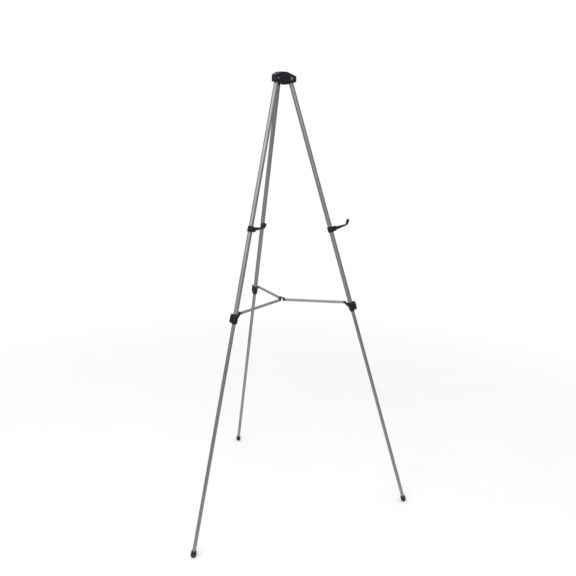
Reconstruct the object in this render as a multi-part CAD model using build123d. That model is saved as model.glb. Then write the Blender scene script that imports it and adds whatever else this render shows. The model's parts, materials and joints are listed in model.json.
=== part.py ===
from build123d import *
import os
from math import cos, hypot, radians, sin

# Tripod field easel, standing open.  Millimetres and degrees, +Z up, front towards -Y.
# The origin is on the floor at the middle of the rectangle that the three feet cover.

# ---- Driving dimensions: stance -------------------------------------------------------
PIVOT_HEIGHT = 1589.0        # leg hinge screws above the floor
PIVOT_RADIUS = 36.2          # leg hinge screws from the tripod's vertical axis
PIVOT_OFFSET = 7.7           # hinge screw outboard of its tube's centreline
LEG_TILT = 16.34             # open leg from vertical
LEG_AZIMUTHS = {"left": 210.0, "right": 330.0, "back": 90.0}
SCREW_SIDES = {"left": 1, "right": -1, "back": 1}      # side of each pod that its screw's head is on
RIVET_SIDES = {"left": 1, "right": -1, "back": -1}     # side of each lug that its strip lies on

# ---- Telescoping tubes ----------------------------------------------------------------
UPPER_OD = 15.9
UPPER_ID = 14.3
LOWER_OD = 12.7
LOWER_ID = 11.3
RUNNING_FIT = 0.05           # radial clearance of pins, rivets and bushes that turn or slide
SLIDE_FIT = 0.08             # radial clearance of the telescoping slides
PRESS_FIT = 0.02             # clearance of pins, rivets and sleeves that stay where they are pressed
TUBE_FIT = 0.03              # radial clearance of collars and feet on their tubes
PLUG_FIT = 0.05              # radial clearance of plugs in their tubes
OPEN_GAP = 0.3               # clearance between moving parts that never bear on each other

# Stations are distances down the tube from the hinge screw.
PLUG_RIM_TOP = 10.0
UPPER_TOP = 12.5
PLUG_SHANK_END = 26.0
PLUG_EDGE = 0.7              # chamfers of the plugs
GLIDE_TOP = 791.0
LOWER_TOP = 811.0
GLIDE_SHANK = 15.0
GLIDE_BORE = 2.5             # radius of the vent through the glide plug
COLLAR_STATION = 836.0
UPPER_BOTTOM = 840.0
LOWER_BOTTOM = 1645.8
HOLDER_STATIONS = {"left": 524.0, "right": 539.0}
HOLDER_AZIMUTHS = {"left": -76.0, "right": -47.0}

# ---- Head moulding, measured from its axis and from the hinge screws' height -----------
HEAD_TOP = 23.0
HEAD_BOTTOM = -15.5
POD_BOTTOM = -10.5
POD_WIDTH = 25.0
POD_CENTRE = 38.0            # centre of each pod's round end
POD_TIP_TOP = 9.0
FACET_DISTANCE = 24.5        # flat faces between the pods
FACET_WIDTH = 35.0
ROOF_FLAT_RADIUS = 22.0
ROOF_THICKNESS = 4.0
HEAD_WALL = 4.5
TONGUE_ROOM = 1.0            # head slot beyond the tongue
THROAT_ROOM = 0.6            # head slot beside the tube
TONGUE_WIDTH = 12.2
SLOT_WIDTH = 12.8
EYE_RADIUS = 8.0
PIVOT_SCREW_RADIUS = 2.0
SCREW_HEAD_RADIUS = 3.6
SCREW_HEAD_HEIGHT = 2.2
SCREW_SEAT_DEPTH = 0.5
SCREW_CROWN = 1.2            # rounding of the screw head
RECESS_LENGTH = 4.4
RECESS_WIDTH = 0.9
NUT_ACROSS_FLATS = 6.6
NUT_HEIGHT = 2.6

# ---- Collar with its flip lever ---------------------------------------------------------
COLLAR_RADIUS = 10.8
COLLAR_TOP = 16.5
COLLAR_SHOULDER = -12.5
NECK_RADIUS = 9.2
NECK_BOTTOM = -18.0
COLLAR_EDGE = 1.2            # chamfer round the collar's mouth
EAR_OUTER = 8.0
EAR_INNER = 5.2
EAR_REACH = 18.0             # widest part of the ears, from the tube's centreline
EAR_FOOT = -10.5
LEVER_PIN_X = 14.0
LEVER_PIN_Z = 9.5
LEVER_PROUD = 0.8            # lever's face beyond the ears' edge
LEVER_TIP = -14.2
CAM_RADIUS = 4.0
PAD_LOW = LEVER_PIN_Z - 3.5
PAD_HIGH = LEVER_PIN_Z + 3.5
PAD_HALF_WIDTH = 3.0
PAD_GAP = 0.1
PIN_RADIUS = 1.5
LUG_X = -20.5                # spreader pivot from the tube's centreline, inboard
LUG_Z = 23.0                 # spreader pivot above the collar's middle
LUG_HALF_WIDTH = 4.5
LUG_RADIUS = 4.2
LUG_ROOT_X = -6.3            # where the lug's bar starts, inside the collar
LUG_ROOT_Z = 2.5
HOUSING_CORNER = 2.0

# ---- Spreader ----------------------------------------------------------------------------
STRIP_THICKNESS = 2.0
STRIP_DEPTH = 10.0
HUB_PIVOT_RADIUS = 12.5
HUB_PIVOT_HEIGHT = 803.5
HUB_PLATE_RADIUS = 8.5
HUB_PLATE_RISE = 5.5         # underside of the plate above the hub pivots
SHEET = 1.5
HUB_EAR_RADIUS = 4.0
RIVET_RADIUS = 1.5
RIVET_HEAD_RADIUS = 3.0
RIVET_HEAD_HEIGHT = 1.3
STRIP_CAP_RADIUS = 4.3       # broad rivet heads on the strips' outer ends

# ---- Artwork holders ---------------------------------------------------------------------
LINER_RADIUS = 8.7
LINER_SPLIT = 1.6
LINER_PROUD = 1.0            # liner beyond each end of the ring
HOLDER_RADIUS = 10.9
HOLDER_HEIGHT = 19.0
HOLDER_EDGE = 1.5            # bevel round both ends of the ring
BOSS_REACH = 22.8
BOSS_HALF_WIDTH = 7.5
HOOK_PIN_X = 16.5
HOOK_PIN_Z = 2.0
HOOK_EYE_RADIUS = 3.8
HOOK_ROOT_WIDTH = 8.0
HOOK_BEND = 65.0             # foot of the lip from the tube's centreline
HOOK_THICKNESS = 3.6
HOOK_WIDTH = 13.0
LEDGE_TOP = 5.8
WEB_DEPTH = 7.4              # web under the ledge, where it leaves the boss
WEB_HALF_WIDTH = 3.0
LIP_HEIGHT = 18.0
LIP_FLARE = 27.0
SLEEVE_WALL = 1.8
SLEEVE_START = 3.5           # sleeve's mouth above the bend
SLEEVE_ROUND = 4.5           # round top corners of the sleeve
SLEEVE_EDGE = 1.4
PIN_PROUD = 0.25             # cross pins beyond the cheeks on each side

# ---- Feet --------------------------------------------------------------------------------
FOOT_RADIUS = 9.7
FOOT_CENTRE_HEIGHT = 8.8
FOOT_SLEEVE_RADIUS = 9.2
FOOT_SLEEVE_LENGTH = 13.5
FOOT_MOUTH = 1.5             # height of the bevel round the sleeve's mouth

TILT = radians(LEG_TILT)
SLEEVE_STATION = (PIVOT_HEIGHT - PIVOT_OFFSET * sin(TILT) - FOOT_CENTRE_HEIGHT) / cos(TILT)
FOOT_CENTRE_RADIUS = PIVOT_RADIUS - PIVOT_OFFSET * cos(TILT) + SLEEVE_STATION * sin(TILT)
AXIS_Y = -FOOT_CENTRE_RADIUS / 4     # the tripod's axis lies ahead of the middle of its footprint


# ---- Frames ------------------------------------------------------------------------------
def outward(azimuth):
    """Horizontal direction from the tripod's axis at this azimuth."""
    return Vector(cos(radians(azimuth)), sin(radians(azimuth)), 0)


def axis_frame(azimuth, height):
    """Frame on the tripod's axis: X outward at the azimuth, Z up."""
    return Plane(origin=(0, AXIS_Y, height), x_dir=outward(azimuth), z_dir=(0, 0, 1)).location


def leg_frame(name):
    """Frame at a leg's hinge screw: X square to the tube and outward, Z up along the tube."""
    radial = outward(LEG_AZIMUTHS[name])
    pivot = Vector(0, AXIS_Y, PIVOT_HEIGHT) + radial * PIVOT_RADIUS
    up_tube = Vector(0, 0, cos(TILT)) - radial * sin(TILT)
    square = radial * cos(TILT) + Vector(0, 0, sin(TILT))
    return Plane(origin=pivot, x_dir=square, z_dir=up_tube).location


def tube_frame(name, station):
    """The leg's frame moved onto the tube's centreline at a station."""
    return leg_frame(name) * Pos(-PIVOT_OFFSET, 0, -station)


def holder_frame(name):
    """Frame on the tube's centreline with X along the holder's arm."""
    frame = tube_frame(name, HOLDER_STATIONS[name])
    along = Plane(frame)
    aim = outward(HOLDER_AZIMUTHS[name])
    square = aim - along.z_dir * aim.dot(along.z_dir)
    return Plane(origin=along.origin, x_dir=square.normalized(), z_dir=along.z_dir).location


# ---- Small building blocks -----------------------------------------------------------------
def block(x_low, x_high, y_low, y_high, z_low, z_high):
    """Rectangular block between two corners."""
    middle = ((x_low + x_high) / 2, (y_low + y_high) / 2, (z_low + z_high) / 2)
    return Pos(*middle) * Box(x_high - x_low, y_high - y_low, z_high - z_low)


def rod_z(radius, low, high):
    """Cylinder along Z between two heights."""
    return Pos(0, 0, (low + high) / 2) * Cylinder(radius, high - low)


def rod_y(radius, x, z, low, high):
    """Cylinder along Y through a point of the XZ plane."""
    return Pos(x, (low + high) / 2, z) * Rot(90, 0, 0) * Cylinder(radius, high - low)


def plate_y(points, low, high):
    """Flat plate square to Y: an outline of (x, z) points between two values of Y."""
    face = make_face(Polyline(*[(x, low, z) for x, z in points], close=True))
    return extrude(face, amount=high - low, dir=(0, 1, 0))


def bar_y(start, end, radius, low, high):
    """Round-ended bar square to Y, from one (x, z) point to another."""
    run = hypot(end[0] - start[0], end[1] - start[1])
    side_x = -(end[1] - start[1]) / run * radius
    side_z = (end[0] - start[0]) / run * radius
    corners = [(start[0] + side_x, start[1] + side_z), (end[0] + side_x, end[1] + side_z),
               (end[0] - side_x, end[1] - side_z), (start[0] - side_x, start[1] - side_z)]
    bar = plate_y(corners, low, high)
    return bar + rod_y(radius, *start, low, high) + rod_y(radius, *end, low, high)


def round_profile(*points):
    """Solid of revolution about Z from (radius, height) points."""
    face = make_face(Polyline(*[(radius, 0, height) for radius, height in points], close=True))
    return revolve(face, axis=Axis.Z)


def tube(outer_diameter, inner_diameter, top, bottom):
    """Round tube between two stations, on the leg's centreline."""
    wall = rod_z(outer_diameter / 2, -bottom, -top) - rod_z(inner_diameter / 2, -bottom - 1, 1 - top)
    return Pos(-PIVOT_OFFSET, 0, 0) * wall


# ---- Head ------------------------------------------------------------------------------------
def head_body():
    """Three-pod moulding, hollow below, with a slot in each pod for a leg's tongue."""
    corner_radius = hypot(FACET_DISTANCE, FACET_WIDTH / 2)
    pod_reach = POD_CENTRE + POD_WIDTH / 2
    corners = []
    for azimuth in sorted(LEG_AZIMUTHS.values()):
        across = outward(azimuth + 90)
        along = (corner_radius ** 2 - (POD_WIDTH / 2) ** 2) ** 0.5
        for side in (-1, 1):
            point = outward(azimuth) * along + across * (side * POD_WIDTH / 2)
            corners.append((point.X, point.Y))
    outline = make_face(Polyline(*corners, close=True))
    for azimuth in LEG_AZIMUTHS.values():
        pod = Pos(POD_CENTRE / 2, 0) * Rectangle(POD_CENTRE, POD_WIDTH)
        outline += Rot(0, 0, azimuth) * (pod + Pos(POD_CENTRE, 0) * Circle(POD_WIDTH / 2))
    prism = Pos(0, 0, HEAD_BOTTOM) * extrude(outline, amount=HEAD_TOP - HEAD_BOTTOM)
    envelope = round_profile((0, HEAD_BOTTOM), (FACET_DISTANCE, HEAD_BOTTOM),
                             (corner_radius, POD_BOTTOM), (pod_reach, POD_BOTTOM),
                             (pod_reach, POD_TIP_TOP), (ROOF_FLAT_RADIUS, HEAD_TOP), (0, HEAD_TOP))
    body = prism & envelope
    roof = HEAD_TOP - ROOF_THICKNESS
    body -= rod_z(FACET_DISTANCE - HEAD_WALL, HEAD_BOTTOM - 1, roof)
    slot_end = PIVOT_RADIUS + EYE_RADIUS + TONGUE_ROOM
    slot_roof = EYE_RADIUS + TONGUE_ROOM
    throat = UPPER_OD / 2 + THROAT_ROOM
    for azimuth in LEG_AZIMUTHS.values():
        slot = plate_y([(0, HEAD_BOTTOM - 1), (slot_end, HEAD_BOTTOM - 1), (slot_end, slot_roof / 3),
                        (slot_end - 5, slot_roof), (0, slot_roof)], -SLOT_WIDTH / 2, SLOT_WIDTH / 2)
        slot += block(FACET_DISTANCE / 3, pod_reach + 1, -throat, throat, HEAD_BOTTOM - 1, POD_BOTTOM + 2)
        slot += rod_y(PIVOT_SCREW_RADIUS + RUNNING_FIT, PIVOT_RADIUS, 0, -POD_WIDTH, POD_WIDTH)
        for side in (-1, 1):
            seat = sorted((side * (POD_WIDTH / 2 - SCREW_SEAT_DEPTH), side * POD_WIDTH))
            slot += rod_y(SCREW_HEAD_RADIUS + 0.5, PIVOT_RADIUS, 0, *seat)
        body -= Rot(0, 0, azimuth) * slot
    return Pos(0, AXIS_Y, PIVOT_HEIGHT) * body


def pivot_screw(side):
    """Pan-head hinge screw with a cross recess, its head on this side of the pod."""
    seat = POD_WIDTH / 2 - SCREW_SEAT_DEPTH
    shank = rod_z(PIVOT_SCREW_RADIUS, -seat - NUT_HEIGHT, seat)
    dome = SCREW_HEAD_HEIGHT / 2
    head = round_profile((0, seat), (SCREW_HEAD_RADIUS, seat), (SCREW_HEAD_RADIUS, seat + dome),
                         (SCREW_HEAD_RADIUS - SCREW_CROWN, seat + SCREW_HEAD_HEIGHT),
                         (0, seat + SCREW_HEAD_HEIGHT))
    recess_floor = seat + dome
    for turn in (0, 90):
        head -= Rot(0, 0, turn) * block(-RECESS_LENGTH / 2, RECESS_LENGTH / 2, -RECESS_WIDTH / 2,
                                        RECESS_WIDTH / 2, recess_floor, seat + 2 * SCREW_HEAD_HEIGHT)
    return Pos(PIVOT_RADIUS, 0, 0) * Rot(-90 * side, 0, 0) * (shank + head)


def pivot_nut(side):
    """Hexagon nut on the other end of the hinge screw."""
    seat = POD_WIDTH / 2 - SCREW_SEAT_DEPTH
    hexagon = extrude(RegularPolygon(NUT_ACROSS_FLATS / 2, 6, major_radius=False), amount=NUT_HEIGHT)
    nut = Pos(0, 0, seat) * hexagon - rod_z(PIVOT_SCREW_RADIUS, 0, seat + NUT_HEIGHT + 1)
    return Pos(PIVOT_RADIUS, 0, 0) * Rot(90 * side, 0, 0) * nut


# ---- Leg ---------------------------------------------------------------------------------------
def top_plug():
    """Plug in the tube's upper end, with the hinge tongue that reaches into the head."""
    half = TONGUE_WIDTH / 2
    rim = UPPER_OD / 2
    shank_radius = UPPER_ID / 2 - PLUG_FIT
    root = rim - PLUG_EDGE
    shoulder = EYE_RADIUS + 2 * PLUG_EDGE
    tongue = plate_y([(EYE_RADIUS, 0), (root - PIVOT_OFFSET, -PLUG_RIM_TOP - 1),
                      (-root - PIVOT_OFFSET, -PLUG_RIM_TOP - 1), (-shoulder, 0),
                      (-EYE_RADIUS * sin(radians(30)), EYE_RADIUS * cos(radians(30))),
                      (0, EYE_RADIUS)], -half, half)
    tongue += rod_y(EYE_RADIUS, 0, 0, -half, half)
    shank = round_profile((0, -PLUG_RIM_TOP), (root, -PLUG_RIM_TOP), (rim, -PLUG_RIM_TOP - PLUG_EDGE),
                          (rim, -UPPER_TOP), (shank_radius, -UPPER_TOP),
                          (shank_radius, PLUG_EDGE - PLUG_SHANK_END),
                          (shank_radius - PLUG_EDGE, -PLUG_SHANK_END), (0, -PLUG_SHANK_END))
    plug = tongue + Pos(-PIVOT_OFFSET, 0, 0) * shank
    return plug - rod_y(PIVOT_SCREW_RADIUS + RUNNING_FIT, 0, 0, -POD_WIDTH, POD_WIDTH)


def pad_window(gap):
    """Space that the brake pad fills, and its window when grown by a gap."""
    half = PAD_HALF_WIDTH + gap
    cam_face = LEVER_PIN_X - CAM_RADIUS - RUNNING_FIT
    return block(0, cam_face, -half, half, PAD_LOW - gap, PAD_HIGH + gap)


def upper_tube():
    """Upper tube, with the window through which the brake pad reaches the lower tube."""
    window = Pos(-PIVOT_OFFSET, 0, -COLLAR_STATION) * pad_window(PAD_GAP)
    return tube(UPPER_OD, UPPER_ID, UPPER_TOP, UPPER_BOTTOM) - window


def collar():
    """Lock collar on the upper tube's end: guide neck, lever ears and spreader lug."""
    body = round_profile((0, NECK_BOTTOM), (NECK_RADIUS - 0.8, NECK_BOTTOM), (NECK_RADIUS, NECK_BOTTOM + 0.8),
                         (NECK_RADIUS, COLLAR_SHOULDER - 2), (COLLAR_RADIUS - 0.4, COLLAR_SHOULDER),
                         (COLLAR_RADIUS, COLLAR_SHOULDER + 1), (COLLAR_RADIUS, COLLAR_TOP - COLLAR_EDGE),
                         (COLLAR_RADIUS - COLLAR_EDGE, COLLAR_TOP), (0, COLLAR_TOP))
    seat_face = LEVER_PIN_X - CAM_RADIUS - 0.6
    top = COLLAR_TOP - 0.5
    housing = plate_y([(0, COLLAR_SHOULDER), (EAR_REACH - 3, COLLAR_SHOULDER), (EAR_REACH, EAR_FOOT),
                       (EAR_REACH - 1.4, top - 3), (EAR_REACH - 4, top), (0, top)], -EAR_OUTER, EAR_OUTER)
    housing = fillet(housing.edges().filter_by(Axis.Z), HOUSING_CORNER)
    body += housing
    body += bar_y((LUG_ROOT_X, LUG_ROOT_Z), (LUG_X, LUG_Z), LUG_RADIUS, -LUG_HALF_WIDTH, LUG_HALF_WIDTH)
    shoulder = COLLAR_STATION - UPPER_BOTTOM
    body -= rod_z(UPPER_OD / 2 + TUBE_FIT, shoulder, COLLAR_TOP + 12)
    body -= rod_z(LOWER_OD / 2 + SLIDE_FIT, NECK_BOTTOM - 1, COLLAR_TOP)
    body -= block(seat_face, LEVER_PIN_X + 20, -EAR_INNER, EAR_INNER, COLLAR_SHOULDER - 1, COLLAR_TOP + 1)
    body -= pad_window(PAD_GAP)
    body -= rod_y(PIN_RADIUS + PRESS_FIT, LEVER_PIN_X, LEVER_PIN_Z, -EAR_OUTER - 1, EAR_OUTER + 1)
    body -= rod_y(RIVET_RADIUS + PRESS_FIT, LUG_X, LUG_Z, -LUG_HALF_WIDTH - 1, LUG_HALF_WIDTH + 1)
    return body


def brake_pad():
    """Block that the lever's cam pushes against the lower tube."""
    return pad_window(0) - rod_z(LOWER_OD / 2 + OPEN_GAP, PAD_LOW - 1, PAD_HIGH + 1)


def lock_lever():
    """Flip lever, closed: a cam between the ears and a blade that reaches just below them."""
    half = EAR_INNER - OPEN_GAP
    face = EAR_REACH + LEVER_PROUD
    back = face - 6.5
    heel = (LEVER_PIN_X - CAM_RADIUS + 0.6, LEVER_PIN_Z + 1)
    crown = (LEVER_PIN_X + 0.6, LEVER_PIN_Z + CAM_RADIUS - 0.1)
    blade = plate_y([(back, 1), heel, crown, (face, COLLAR_TOP - 5), (face, LEVER_TIP + 2.5),
                     (face - 2.5, LEVER_TIP), (back, LEVER_TIP)], -half, half)
    lever = rod_y(CAM_RADIUS, LEVER_PIN_X, LEVER_PIN_Z, -half, half) + blade
    return lever - rod_y(PIN_RADIUS + RUNNING_FIT, LEVER_PIN_X, LEVER_PIN_Z, -EAR_OUTER, EAR_OUTER)


def lever_pin():
    """Cross pin that the lever turns on."""
    return rod_y(PIN_RADIUS, LEVER_PIN_X, LEVER_PIN_Z, -EAR_OUTER - PIN_PROUD, EAR_OUTER + PIN_PROUD)


def glide_plug():
    """Plug in the lower tube's top end that runs inside the upper tube."""
    glide = UPPER_ID / 2 - SLIDE_FIT
    shank = LOWER_ID / 2 - PLUG_FIT
    shank_end = LOWER_TOP + GLIDE_SHANK
    plug = round_profile((GLIDE_BORE, -GLIDE_TOP), (glide - PLUG_EDGE, -GLIDE_TOP),
                         (glide, -GLIDE_TOP - PLUG_EDGE), (glide, -LOWER_TOP), (shank, -LOWER_TOP),
                         (shank, PLUG_EDGE - shank_end), (shank - PLUG_EDGE, -shank_end),
                         (GLIDE_BORE, -shank_end))
    return Pos(-PIVOT_OFFSET, 0, 0) * plug


def foot(name):
    """Rubber foot over the lower tube's end, with a small flat sole on the floor."""
    sleeve_top = FOOT_SLEEVE_LENGTH
    bevel = sleeve_top - FOOT_MOUTH
    shape = rod_z(FOOT_SLEEVE_RADIUS, 0, bevel) + Sphere(FOOT_RADIUS)
    shape += round_profile((0, bevel), (FOOT_SLEEVE_RADIUS, bevel),
                           (LOWER_OD / 2 + 1, sleeve_top), (0, sleeve_top))
    shape -= rod_z(LOWER_OD / 2 + TUBE_FIT, SLEEVE_STATION - LOWER_BOTTOM, sleeve_top + 1)
    placed = tube_frame(name, SLEEVE_STATION) * shape
    spread = 2 * FOOT_CENTRE_RADIUS
    below_floor = block(-spread, spread, -spread, spread, -2 * FOOT_RADIUS, 0)
    return placed - below_floor


# ---- Spreader ------------------------------------------------------------------------------------
LUG_STATION = COLLAR_STATION - LUG_Z
LUG_RADIUS_FROM_AXIS = (PIVOT_RADIUS - (PIVOT_OFFSET - LUG_X) * cos(TILT) + LUG_STATION * sin(TILT))
LUG_HEIGHT = PIVOT_HEIGHT - (PIVOT_OFFSET - LUG_X) * sin(TILT) - LUG_STATION * cos(TILT)
STRIP_INNER_FACE = LUG_HALF_WIDTH + OPEN_GAP
STRIP_OUTER_FACE = STRIP_INNER_FACE + STRIP_THICKNESS


def sides(side, near, far):
    """Two distances from the leg's plane as low and high Y on the rivets' side."""
    return sorted((side * near, side * far))


def spreader_strip(name):
    """Flat strip on edge from a collar's lug to the hub, in the frame on the tripod's axis."""
    side = RIVET_SIDES[name]
    outer_end = (LUG_RADIUS_FROM_AXIS, LUG_HEIGHT)
    inner_end = (HUB_PIVOT_RADIUS, HUB_PIVOT_HEIGHT)
    low, high = sides(side, STRIP_INNER_FACE, STRIP_OUTER_FACE)
    strip = bar_y(inner_end, outer_end, STRIP_DEPTH / 2, low, high)
    for end in (inner_end, outer_end):
        strip -= rod_y(RIVET_RADIUS + RUNNING_FIT, *end, low - 1, high + 1)
    return strip


def rivet_head(radius):
    """Domed rivet head standing on the XY plane."""
    return round_profile((0, 0), (radius, 0), (radius - 0.3, 0.6), (radius - 1.4, RIVET_HEAD_HEIGHT),
                         (0, RIVET_HEAD_HEIGHT))


def rivet(x, z, side, near, far):
    """Rivet through everything between two distances from the leg's plane, with a head at each end."""
    low, high = sides(side, near, far)
    shank = rod_y(RIVET_RADIUS, x, z, low, high)
    for face, way in ((low, -1), (high, 1)):
        shank += Pos(x, face, z) * Rot(-90 * way, 0, 0) * rivet_head(RIVET_HEAD_RADIUS)
    return shank


def half_rivet(x, z, face, way, depth, head_radius):
    """Rivet head on a face that looks along +Y or -Y, with its shank sunk to a depth."""
    low, high = sorted((face, face - way * depth))
    head = Pos(x, face, z) * Rot(-90 * way, 0, 0) * rivet_head(head_radius)
    return rod_y(RIVET_RADIUS, x, z, low, high) + head


FORK_NEAR = STRIP_INNER_FACE - OPEN_GAP - SHEET
FORK_FAR = STRIP_OUTER_FACE + OPEN_GAP + SHEET


def hub_plate():
    """Pressed spider: a small plate with a fork bent down over the end of each strip."""
    top = HUB_PLATE_RISE + SHEET
    plate = rod_z(HUB_PLATE_RADIUS, HUB_PLATE_RISE, top)
    x = HUB_PIVOT_RADIUS
    for name, azimuth in LEG_AZIMUTHS.items():
        low, high = sides(RIVET_SIDES[name], FORK_NEAR, FORK_FAR)
        arm_low, arm_high = sides(RIVET_SIDES[name], 0, FORK_FAR)
        fork = block(x - HUB_EAR_RADIUS, x + HUB_EAR_RADIUS, low, high, 0, top)
        fork += rod_y(HUB_EAR_RADIUS, x, 0, low, high)
        fork -= block(0, 2 * x, low + SHEET, high - SHEET, -2 * HUB_EAR_RADIUS, HUB_PLATE_RISE)
        fork -= rod_y(RIVET_RADIUS + PRESS_FIT, x, 0, low - 1, high + 1)
        fork += block(0, x + HUB_EAR_RADIUS, arm_low, arm_high, HUB_PLATE_RISE, top)
        plate += Rot(0, 0, azimuth) * fork
    return Pos(0, AXIS_Y, HUB_PIVOT_HEIGHT) * plate


# ---- Artwork holder ----------------------------------------------------------------------------------
def holder_liner():
    """Split friction bush between the upper tube and the holder's clamp."""
    inner = UPPER_OD / 2 + RUNNING_FIT
    half = HOLDER_HEIGHT / 2 + LINER_PROUD
    liner = rod_z(LINER_RADIUS, -half, half) - rod_z(inner, -half - 1, half + 1)
    return liner - block(-LINER_RADIUS - 1, 0, -LINER_SPLIT / 2, LINER_SPLIT / 2, -half - 1, half + 1)


def holder_clamp():
    """Clamp ring with a forked boss for the hook."""
    half = HOLDER_HEIGHT / 2
    bevel = half - HOLDER_EDGE
    ring = round_profile((0, -half), (HOLDER_RADIUS - HOLDER_EDGE, -half), (HOLDER_RADIUS, -bevel),
                         (HOLDER_RADIUS, bevel), (HOLDER_RADIUS - HOLDER_EDGE, half), (0, half))
    boss = plate_y([(0, 0.2 - half), (BOSS_REACH - 6, 0.2 - half), (BOSS_REACH, -6), (BOSS_REACH, 5.5),
                    (BOSS_REACH - 2.5, 8), (0, half - 0.6)], -BOSS_HALF_WIDTH, BOSS_HALF_WIDTH)
    boss = fillet(boss.edges().filter_by(Axis.Z), 1.2)
    slot_half = HOOK_ROOT_WIDTH / 2 + OPEN_GAP
    slot_back = HOOK_PIN_X - HOOK_EYE_RADIUS - 2 * OPEN_GAP
    slot_floor = HOOK_PIN_Z - HOOK_EYE_RADIUS - OPEN_GAP
    body = ring + boss
    body -= block(slot_back, BOSS_REACH + 1, -slot_half, slot_half, slot_floor, HOLDER_HEIGHT)
    body -= rod_z(LINER_RADIUS + RUNNING_FIT, -half - 1, half + 1)
    bore = BOSS_HALF_WIDTH + 1
    return body - rod_y(PIN_RADIUS + PRESS_FIT, HOOK_PIN_X, HOOK_PIN_Z, -bore, bore)


def holder_pin():
    """Pin across the boss that the hook turns on."""
    half = BOSS_HALF_WIDTH + PIN_PROUD
    return rod_y(PIN_RADIUS, HOOK_PIN_X, HOOK_PIN_Z, -half, half)


def lip_frame():
    """Frame at the hook's bend, with Z up the flared lip."""
    return Pos(HOOK_BEND, 0, LEDGE_TOP - HOOK_THICKNESS / 2) * Rot(0, LIP_FLARE, 0)


def holder_hook():
    """Ledge hook: root between the boss's cheeks, ledge on a tapering web, and a flared lip."""
    half = HOOK_WIDTH / 2
    bottom = LEDGE_TOP - HOOK_THICKNESS
    root_half = HOOK_ROOT_WIDTH / 2
    eye_bottom = HOOK_PIN_Z - HOOK_EYE_RADIUS
    shoulder = BOSS_REACH + 2.4
    root = rod_y(HOOK_EYE_RADIUS, HOOK_PIN_X, HOOK_PIN_Z, -root_half, root_half)
    root += block(HOOK_PIN_X, shoulder + 2, -root_half, root_half, eye_bottom + 0.5, LEDGE_TOP)
    ledge = block(shoulder, HOOK_BEND, -half, half, bottom, LEDGE_TOP)
    bend = rod_y(HOOK_THICKNESS / 2, HOOK_BEND, LEDGE_TOP - HOOK_THICKNESS / 2, -half, half)
    lip = lip_frame() * block(-HOOK_THICKNESS / 2, HOOK_THICKNESS / 2, -half, half, 0, LIP_HEIGHT)
    web = plate_y([(shoulder, bottom + 0.5), (shoulder, bottom - WEB_DEPTH), (HOOK_BEND - 2, bottom - 1),
                   (HOOK_BEND, bottom + 0.5)], -WEB_HALF_WIDTH, WEB_HALF_WIDTH)
    hook = root + ledge + bend + lip + web
    return hook - rod_y(PIN_RADIUS + RUNNING_FIT, HOOK_PIN_X, HOOK_PIN_Z, -HOOK_WIDTH, HOOK_WIDTH)


def lip_sleeve():
    """Soft sleeve pushed over the hook's lip so that it doesn't mark the artwork."""
    half = HOOK_WIDTH / 2
    inner_x = HOOK_THICKNESS / 2 + PRESS_FIT
    outer_x = HOOK_THICKNESS / 2 + SLEEVE_WALL
    top = LIP_HEIGHT + SLEEVE_WALL
    outer = block(-outer_x, outer_x, -half - SLEEVE_WALL, half + SLEEVE_WALL, SLEEVE_START, top)
    outer = fillet(outer.edges().filter_by(Axis.X).group_by(Axis.Z)[-1], SLEEVE_ROUND)
    outer = fillet(outer.edges().filter_by(Axis.Z), SLEEVE_EDGE)
    inner_y = half + PRESS_FIT
    inner = block(-inner_x, inner_x, -inner_y, inner_y, SLEEVE_START - 1, LIP_HEIGHT + PRESS_FIT)
    return lip_frame() * (outer - inner)


# ---- Write every node ----------------------------------------------------------------------------------
def group(pieces):
    """Separate solids of one node."""
    return Compound(children=list(pieces))


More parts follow.
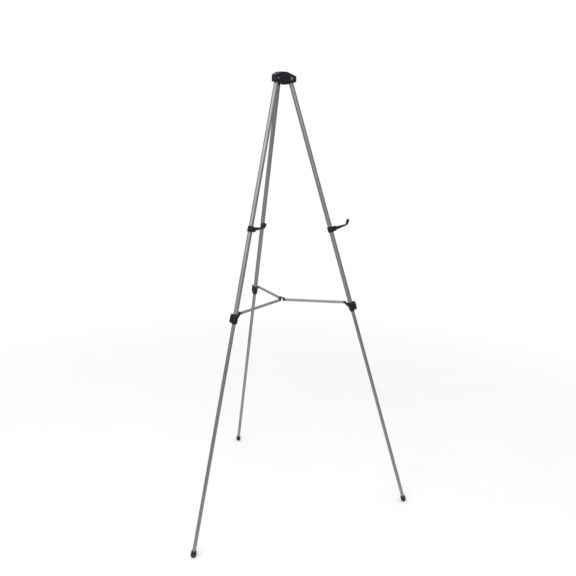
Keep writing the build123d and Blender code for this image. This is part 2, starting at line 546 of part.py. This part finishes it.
def build():
    """Every node of the easel by name, placed."""
    nodes = {"head_body": head_body()}
    head_level = {azimuth: axis_frame(azimuth, PIVOT_HEIGHT) for azimuth in LEG_AZIMUTHS.values()}
    nodes["pivot_screws"] = group(head_level[azimuth] * pivot_screw(SCREW_SIDES[name])
                                  for name, azimuth in LEG_AZIMUTHS.items())
    nodes["pivot_nuts"] = group(head_level[azimuth] * pivot_nut(SCREW_SIDES[name])
                                for name, azimuth in LEG_AZIMUTHS.items())
    collar_shape = collar()
    for name, azimuth in LEG_AZIMUTHS.items():
        leg = leg_frame(name)
        at_collar = tube_frame(name, COLLAR_STATION)
        nodes[f"top_plug_{name}"] = leg * top_plug()
        nodes[f"upper_tube_{name}"] = leg * upper_tube()
        nodes[f"collar_{name}"] = at_collar * collar_shape
        nodes[f"brake_pad_{name}"] = at_collar * brake_pad()
        nodes[f"lock_lever_{name}"] = at_collar * lock_lever()
        nodes[f"lever_pin_{name}"] = at_collar * lever_pin()
        nodes[f"glide_plug_{name}"] = leg * glide_plug()
        nodes[f"lower_tube_{name}"] = leg * tube(LOWER_OD, LOWER_ID, LOWER_TOP, LOWER_BOTTOM)
        nodes[f"foot_{name}"] = foot(name)
        nodes[f"spreader_strip_{name}"] = axis_frame(azimuth, 0) * spreader_strip(name)

    side = RIVET_SIDES["back"]
    nodes["lug_rivet_back"] = tube_frame("back", COLLAR_STATION) * rivet(
        LUG_X, LUG_Z, side, -LUG_HALF_WIDTH, STRIP_OUTER_FACE + 0.1)
    for name in ("left", "right"):
        side = RIVET_SIDES[name]
        nodes[f"lug_rivet_{name}"] = tube_frame(name, COLLAR_STATION) * half_rivet(
            LUG_X, LUG_Z, -side * LUG_HALF_WIDTH, -side, 2 * LUG_HALF_WIDTH, RIVET_HEAD_RADIUS)
        nodes[f"strip_rivet_{name}"] = axis_frame(LEG_AZIMUTHS[name], 0) * half_rivet(
            LUG_RADIUS_FROM_AXIS, LUG_HEIGHT, side * STRIP_OUTER_FACE, side, STRIP_THICKNESS,
            STRIP_CAP_RADIUS)

    nodes["hub_plate"] = hub_plate()
    nodes["hub_rivets"] = group(
        axis_frame(azimuth, HUB_PIVOT_HEIGHT) * rivet(HUB_PIVOT_RADIUS, 0, RIVET_SIDES[name],
                                                      FORK_NEAR, FORK_FAR)
        for name, azimuth in LEG_AZIMUTHS.items())

    for name in HOLDER_STATIONS:
        frame = holder_frame(name)
        nodes[f"holder_liner_{name}"] = frame * holder_liner()
        nodes[f"holder_clamp_{name}"] = frame * holder_clamp()
        nodes[f"holder_pin_{name}"] = frame * holder_pin()
        nodes[f"holder_hook_{name}"] = frame * holder_hook()
        nodes[f"lip_sleeve_{name}"] = frame * lip_sleeve()
    return nodes


def main():
    os.makedirs("parts", exist_ok=True)
    for name, shape in build().items():
        export_step(shape, f"parts/{name}.step")


main()
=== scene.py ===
import json
import math

import bpy
from mathutils import Matrix, Vector

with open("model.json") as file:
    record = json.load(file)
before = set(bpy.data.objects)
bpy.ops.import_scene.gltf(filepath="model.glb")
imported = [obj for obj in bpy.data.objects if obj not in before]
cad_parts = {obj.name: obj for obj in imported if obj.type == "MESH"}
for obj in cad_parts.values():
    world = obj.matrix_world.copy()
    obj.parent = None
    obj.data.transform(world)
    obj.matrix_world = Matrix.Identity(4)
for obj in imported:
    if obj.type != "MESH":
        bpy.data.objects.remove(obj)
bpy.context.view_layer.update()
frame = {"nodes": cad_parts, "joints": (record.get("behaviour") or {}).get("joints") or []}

LEGS = ("left", "right", "back")
HOLDERS = ("left", "right")
MM = 0.001

# Camera, aimed at a point on the tripod's axis
CAMERA_TARGET = Vector((0.0, -0.1229, 0.860))
CAMERA_AZIMUTH = -23.79      # from the front, towards the left
CAMERA_ELEVATION = 12.26
CAMERA_DISTANCE = 2.2151
CAMERA_ROLL = 0.322
CAMERA_LENS = 37.09
CAMERA_SENSOR = 36.0
CAMERA_SHIFT = (0.0126, -0.0062)

# Floor, room and lights
FLOOR_RADIUS = 2.6           # the floor has thinned out to nothing here
FLOOR_SOLID = 0.2            # share of that radius over which it stays solid
ROOM_COLOUR = (0.96, 0.98, 1.0, 1.0)
ROOM_LIGHT = 0.40
BACKDROP_COLOUR = (1.0, 1.0, 1.0, 1.0)
KEY_LIGHT = {"place": (-2.4, -2.4, 3.3), "aim": (-0.05, 0, 1.3), "size": (5.5, 1.2), "power": 100}
TOP_LIGHT = {"place": (0.0, 0.0, 5.0), "aim": (0, 0, 0.8), "size": (8.0, 8.0), "power": 205}

# Dust on the rubber
DUST_HEIGHT = 9 * MM
DUST_ON_FLOOR = 0.6
DUST_ABOVE = 0.18

# Noise values and edges
MIDDLE = (0.35, 0.65)        # range that holds most of a noise's values
WIDE = (0.3, 0.7)            # range that holds nearly all of them
EDGE_TURN = (0.995, 0.90)    # cosines of the softened normal's turn where an edge starts and is full


# ---- Materials -------------------------------------------------------------------------
def shade(colour, factor):
    """Colour made darker or brighter by a factor."""
    return tuple(min(part * factor, 1.0) for part in colour)


class Look:
    """A Principled material while it is built, with short calls for its textures."""

    def __init__(self, name, **sockets):
        self.material = bpy.data.materials.new(name)
        self.material.use_nodes = True
        self.tree = self.material.node_tree
        self.shader = self.tree.nodes["Principled BSDF"]
        self.coordinates = self.tree.nodes.new("ShaderNodeTexCoord").outputs["Object"]
        self.fill(self.shader, sockets)

    def fill(self, node, sockets):
        """Set or link a node's inputs by name or number."""
        for key, value in sockets.items():
            socket = node.inputs[key]
            if isinstance(value, bpy.types.NodeSocket):
                self.tree.links.new(value, socket)
            elif isinstance(value, tuple) and socket.type == "RGBA":
                socket.default_value = (*value, 1.0)
            else:
                socket.default_value = value

    def node(self, kind, sockets, **settings):
        """A new node with its settings and inputs."""
        made = self.tree.nodes.new(kind)
        for key, value in settings.items():
            setattr(made, key, value)
        self.fill(made, sockets)
        return made

    def along(self, direction, stretch):
        """Object coordinates drawn out along a direction, for grain that runs that way."""
        turn = Vector(direction).rotation_difference(Vector((0, 0, 1))).to_euler()
        turned = self.node("ShaderNodeMapping", {"Vector": self.coordinates, "Rotation": turn})
        drawn = self.node("ShaderNodeMapping", {"Vector": turned.outputs[0], "Scale": (1, 1, 1 / stretch)})
        return drawn.outputs[0]

    def noise(self, scale, detail=3.0, rough=0.55, where=None):
        """Fractal noise, 0 to 1."""
        sockets = {"Vector": where or self.coordinates, "Scale": scale, "Detail": detail, "Roughness": rough}
        return self.node("ShaderNodeTexNoise", sockets).outputs["Fac"]

    def remap(self, value, low, high, to_low, to_high):
        """Value moved from one range to another, and held to it."""
        sockets = {"Value": value, "From Min": low, "From Max": high, "To Min": to_low, "To Max": to_high}
        return self.node("ShaderNodeMapRange", sockets).outputs["Result"]

    def maths(self, operation, first, second):
        """One arithmetic step."""
        return self.node("ShaderNodeMath", {0: first, 1: second}, operation=operation).outputs[0]

    def mix(self, factor, first, second):
        """Colour between two colours."""
        made = self.node("ShaderNodeMix", {"Factor": factor}, data_type="RGBA")
        self.fill(made, {6: first, 7: second})
        return made.outputs[2]

    def edges(self, radius):
        """Mask, 1 along the edges and 0 on the faces, and the softened normal."""
        bevel = self.node("ShaderNodeBevel", {"Radius": radius}, samples=4)
        face = self.node("ShaderNodeNewGeometry", {}).outputs["Normal"]
        turned = self.node("ShaderNodeVectorMath", {0: bevel.outputs[0], 1: face}, operation="DOT_PRODUCT")
        return self.remap(turned.outputs["Value"], *EDGE_TURN, 0.0, 1.0), bevel.outputs[0]

    def bump(self, height, depth, strength, normal=None):
        """Surface relief from a height."""
        sockets = {"Height": height, "Distance": depth, "Strength": strength}
        if normal is not None:
            sockets["Normal"] = normal
        return self.node("ShaderNodeBump", sockets).outputs["Normal"]

    def finish(self, **sockets):
        """Link the built-up colour, roughness and normal, and hand over the material."""
        self.fill(self.shader, {key.replace("_", " "): value for key, value in sockets.items()})
        return self.material


def satin_aluminium(name, colour, direction, roughness, wear):
    """Drawn tube or strip: die lines along it, handling marks, and brighter rubbed streaks."""
    look = Look(name, Metallic=1.0)
    fine = look.noise(scale=2600.0, detail=2.0, rough=0.5, where=look.along(direction, stretch=90.0))
    broad = look.noise(scale=420.0, detail=3.0, rough=0.6, where=look.along(direction, stretch=40.0))
    streaks = look.noise(scale=150.0, detail=4.0, rough=0.7, where=look.along(direction, stretch=12.0))
    marks = look.noise(scale=38.0, detail=4.0, rough=0.62)
    cloud = look.noise(scale=7.0, detail=2.0, rough=0.5)
    rubbed = look.remap(streaks, 0.60, 0.74, 0.0, wear)
    dark = shade(colour, 0.86)
    bright = shade(colour, 1.22)
    tone = look.mix(look.remap(cloud, *MIDDLE, 0.0, 1.0), dark, colour)
    tone = look.mix(look.remap(fine, *MIDDLE, 0.0, 0.35), tone, dark)
    tone = look.mix(rubbed, tone, bright)
    rough = look.maths("ADD", look.remap(broad, *WIDE, roughness - 0.05, roughness + 0.05),
                       look.remap(marks, 0.55, 0.70, 0.0, 0.09))
    edge, soft = look.edges(0.35 * MM)
    tone = look.mix(look.maths("MULTIPLY", edge, 0.5), tone, bright)
    relief = look.bump(fine, depth=0.03 * MM, strength=0.35, normal=soft)
    relief = look.bump(broad, depth=0.05 * MM, strength=0.25, normal=relief)
    return look.finish(Base_Color=tone, Roughness=rough, Normal=relief)


def moulded(name, colour, worn, roughness, grain, wear=0.6):
    """Injection-moulded part: spark-eroded grain, faint flow clouds and paler worn edges."""
    look = Look(name, **{"Specular IOR Level": 0.20})
    fine = look.noise(scale=grain, detail=2.0, rough=0.6)
    flow = look.noise(scale=55.0, detail=3.0, rough=0.55)
    patch = look.noise(scale=310.0, detail=4.0, rough=0.7)
    edge, soft = look.edges(0.5 * MM)
    chipped = look.maths("MULTIPLY", edge, look.remap(patch, 0.38, 0.62, 0.1, wear))
    tone = look.mix(look.remap(flow, *MIDDLE, 0.0, 0.45), colour, worn)
    tone = look.mix(look.remap(fine, 0.4, 0.75, 0.0, 0.25), tone, worn)
    tone = look.mix(chipped, tone, shade(worn, 2.4))
    rough = look.maths("ADD", look.remap(flow, *WIDE, roughness - 0.06, roughness + 0.06),
                       look.remap(fine, *WIDE, -0.05, 0.05))
    relief = look.bump(fine, depth=0.06 * MM, strength=0.45, normal=soft)
    relief = look.bump(flow, depth=0.20 * MM, strength=0.20, normal=relief)
    return look.finish(Base_Color=tone, Roughness=rough, Normal=relief)


def rubber(name):
    """Moulded rubber: matt, finely pitted, and dusty towards the floor."""
    look = Look(name, **{"Specular IOR Level": 0.35})
    pits = look.noise(scale=900.0, detail=4.0, rough=0.7)
    smear = look.noise(scale=140.0, detail=4.0, rough=0.65)
    height = look.node("ShaderNodeSeparateXYZ", {0: look.coordinates}).outputs["Z"]
    low = look.remap(height, 0.0, DUST_HEIGHT, 1.0, 0.0)
    amount = look.maths("ADD", look.maths("MULTIPLY", low, DUST_ON_FLOOR), DUST_ABOVE)
    dust = look.maths("MULTIPLY", amount, look.remap(smear, 0.42, 0.66, 0.0, 1.0))
    edge, soft = look.edges(0.6 * MM)
    tone = look.mix(look.remap(pits, *MIDDLE, 0.0, 1.0), (0.010, 0.010, 0.011), (0.020, 0.020, 0.022))
    tone = look.mix(look.maths("MULTIPLY", edge, 0.3), tone, (0.05, 0.05, 0.055))
    tone = look.mix(dust, tone, (0.12, 0.115, 0.11))
    rough = look.remap(pits, *WIDE, 0.62, 0.84)
    relief = look.bump(pits, depth=0.10 * MM, strength=0.5, normal=soft)
    return look.finish(Base_Color=tone, Roughness=rough, Normal=relief)


def plated_steel(name):
    """Zinc-plated steel: spangle, dull scuffs and bright edges."""
    look = Look(name, Metallic=1.0)
    spangle = look.noise(scale=520.0, detail=2.0, rough=0.5)
    scuff = look.noise(scale=1500.0, detail=4.0, rough=0.7)
    edge, soft = look.edges(0.25 * MM)
    tone = look.mix(look.remap(spangle, *MIDDLE, 0.0, 1.0), (0.30, 0.30, 0.30), (0.40, 0.39, 0.38))
    tone = look.mix(look.remap(scuff, 0.58, 0.75, 0.0, 0.7), tone, (0.26, 0.25, 0.24))
    tone = look.mix(look.maths("MULTIPLY", edge, 0.4), tone, (0.85, 0.84, 0.82))
    rough = look.maths("ADD", look.remap(spangle, *WIDE, 0.32, 0.46), look.remap(scuff, 0.5, 0.8, 0.0, 0.2))
    relief = look.bump(scuff, depth=0.02 * MM, strength=0.4, normal=soft)
    return look.finish(Base_Color=tone, Roughness=rough, Normal=relief)


def coated_steel(name):
    """Black coating on sheet steel: orange peel, rubbed through in places along the edges."""
    look = Look(name, **{"Coat Weight": 0.08, "Coat Roughness": 0.25, "Specular IOR Level": 0.4})
    peel = look.noise(scale=620.0, detail=2.0, rough=0.5)
    patch = look.noise(scale=260.0, detail=4.0, rough=0.7)
    edge, soft = look.edges(0.4 * MM)
    bare = look.maths("MULTIPLY", edge, look.remap(patch, 0.52, 0.66, 0.0, 0.8))
    tone = look.mix(look.remap(peel, *MIDDLE, 0.0, 1.0), (0.010, 0.011, 0.012), (0.018, 0.019, 0.021))
    tone = look.mix(bare, tone, (0.30, 0.30, 0.31))
    rough = look.maths("ADD", look.remap(peel, *WIDE, 0.32, 0.44), look.remap(patch, 0.5, 0.7, 0.0, 0.14))
    relief = look.bump(peel, depth=0.05 * MM, strength=0.4, normal=soft)
    return look.finish(Base_Color=tone, Roughness=rough, Metallic=bare, Normal=relief)


def floor_look():
    """Pale studio floor with a faint mottle, which thins out into the backdrop."""
    look = Look("studio_floor", **{"Specular IOR Level": 0.2})
    reach = look.node("ShaderNodeVectorMath", {0: look.coordinates}, operation="LENGTH").outputs["Value"]
    fade = look.remap(reach, FLOOR_RADIUS * FLOOR_SOLID, FLOOR_RADIUS, 1.0, 0.0)
    mottle = look.noise(scale=3.0, detail=4.0, rough=0.6)
    grit = look.noise(scale=240.0, detail=3.0, rough=0.6)
    tone = look.mix(look.remap(mottle, *WIDE, 0.0, 1.0), (0.93, 0.93, 0.93), (0.96, 0.96, 0.96))
    rough = look.remap(grit, *WIDE, 0.72, 0.86)
    relief = look.bump(grit, depth=0.2 * MM, strength=0.1)
    return look.finish(Base_Color=tone, Roughness=rough, Alpha=fade, Normal=relief)


def paint(material, *nodes):
    """Give CAD nodes their finished material."""
    for name in nodes:
        target = frame["nodes"][name]
        if not target.data.materials:
            target.data.materials.append(material)
        for place in range(len(target.material_slots)):
            target.material_slots[place].material = material


def joint_axis(name):
    """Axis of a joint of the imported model."""
    return Vector(next(joint["axis"] for joint in frame["joints"] if joint["name"] == name))


def finish_object():
    """Every node's finish."""
    black = moulded("black_moulding", colour=(0.010, 0.011, 0.014), worn=(0.020, 0.022, 0.026),
                    roughness=0.46, grain=1700.0)
    lever = moulded("black_lever", colour=(0.009, 0.010, 0.012), worn=(0.018, 0.019, 0.022),
                    roughness=0.40, grain=2300.0)
    nylon = moulded("black_nylon", colour=(0.014, 0.015, 0.017), worn=(0.028, 0.030, 0.033),
                    roughness=0.55, grain=1200.0, wear=0.3)
    soft = rubber("black_rubber")
    steel = plated_steel("zinc_steel")
    coated = coated_steel("black_coated_steel")
    paint(black, "head_body")
    paint(steel, "pivot_screws", "pivot_nuts")
    paint(coated, "hub_plate", "hub_rivets")
    for leg in LEGS:
        run = joint_axis(f"{leg}_leg_telescope")
        outward = joint_axis(f"{leg}_leg_fold").cross((0, 0, 1))
        upper = satin_aluminium(f"upper_tube_{leg}", colour=(0.35, 0.355, 0.37), direction=run,
                                roughness=0.56, wear=0.20)
        lower = satin_aluminium(f"lower_tube_{leg}", colour=(0.31, 0.315, 0.33), direction=run,
                                roughness=0.50, wear=0.35)
        strip = satin_aluminium(f"spreader_strip_{leg}", colour=(0.47, 0.48, 0.50), direction=outward,
                                roughness=0.66, wear=0.30)
        paint(upper, f"upper_tube_{leg}")
        paint(lower, f"lower_tube_{leg}")
        paint(strip, f"spreader_strip_{leg}")
        paint(black, f"top_plug_{leg}", f"collar_{leg}")
        paint(lever, f"lock_lever_{leg}")
        paint(nylon, f"glide_plug_{leg}", f"brake_pad_{leg}")
        paint(soft, f"foot_{leg}")
        paint(steel, f"lever_pin_{leg}", f"lug_rivet_{leg}")
    for side in HOLDERS:
        paint(black, f"holder_clamp_{side}")
        paint(nylon, f"holder_liner_{side}")
        paint(coated, f"holder_hook_{side}", f"strip_rivet_{side}", f"holder_pin_{side}")
        paint(soft, f"lip_sleeve_{side}")


# ---- Studio ----------------------------------------------------------------------------
def floor():
    """Wide plain floor."""
    mesh = bpy.data.meshes.new("studio_floor")
    half = FLOOR_RADIUS
    corners = [(-half, -half, 0), (half, -half, 0), (half, half, 0), (-half, half, 0)]
    mesh.from_pydata(corners, [], [(0, 1, 2, 3)])
    mesh.materials.append(floor_look())
    ground = bpy.data.objects.new("studio_floor", mesh)
    bpy.context.scene.collection.objects.link(ground)


def softbox(name, place, aim, size, power):
    """Large rectangular area light aimed at a point."""
    light = bpy.data.lights.new(name, "AREA")
    light.shape = "RECTANGLE"
    light.size, light.size_y = size
    light.energy = power
    lamp = bpy.data.objects.new(name, light)
    lamp.location = place
    lamp.rotation_euler = (Vector(aim) - Vector(place)).to_track_quat("-Z", "Y").to_euler()
    bpy.context.scene.collection.objects.link(lamp)


def studio():
    """White backdrop, a dim grey room for the metal to mirror, and soft boxes."""
    world = bpy.data.worlds.new("studio_world")
    world.use_nodes = True
    tree = world.node_tree
    room = tree.nodes["Background"]
    room.inputs["Color"].default_value = ROOM_COLOUR
    room.inputs["Strength"].default_value = ROOM_LIGHT
    backdrop = tree.nodes.new("ShaderNodeBackground")
    backdrop.inputs["Color"].default_value = BACKDROP_COLOUR
    seen = tree.nodes.new("ShaderNodeLightPath").outputs["Is Camera Ray"]
    choice = tree.nodes.new("ShaderNodeMixShader")
    tree.links.new(seen, choice.inputs[0])
    tree.links.new(room.outputs[0], choice.inputs[1])
    tree.links.new(backdrop.outputs[0], choice.inputs[2])
    tree.links.new(choice.outputs[0], tree.nodes["World Output"].inputs[0])
    bpy.context.scene.world = world
    bpy.context.scene.view_settings.view_transform = "Standard"
    softbox("key_light", **KEY_LIGHT)
    softbox("top_light", **TOP_LIGHT)


def camera():
    """Camera in front of the easel and to its left, looking slightly down."""
    azimuth, elevation = math.radians(CAMERA_AZIMUTH), math.radians(CAMERA_ELEVATION)
    back = Vector((math.sin(azimuth) * math.cos(elevation), -math.cos(azimuth) * math.cos(elevation),
                   math.sin(elevation)))
    data = bpy.data.cameras.new("camera")
    data.lens = CAMERA_LENS
    data.sensor_width = CAMERA_SENSOR
    data.shift_x, data.shift_y = CAMERA_SHIFT
    view = bpy.data.objects.new("camera", data)
    aim = (-back).to_track_quat("-Z", "Y").to_matrix().to_4x4()
    turn = Matrix.Rotation(math.radians(CAMERA_ROLL), 4, "Z")
    view.matrix_world = Matrix.Translation(CAMERA_TARGET + back * CAMERA_DISTANCE) @ aim @ turn
    bpy.context.scene.collection.objects.link(view)
    bpy.context.scene.camera = view


finish_object()
floor()
studio()
camera()
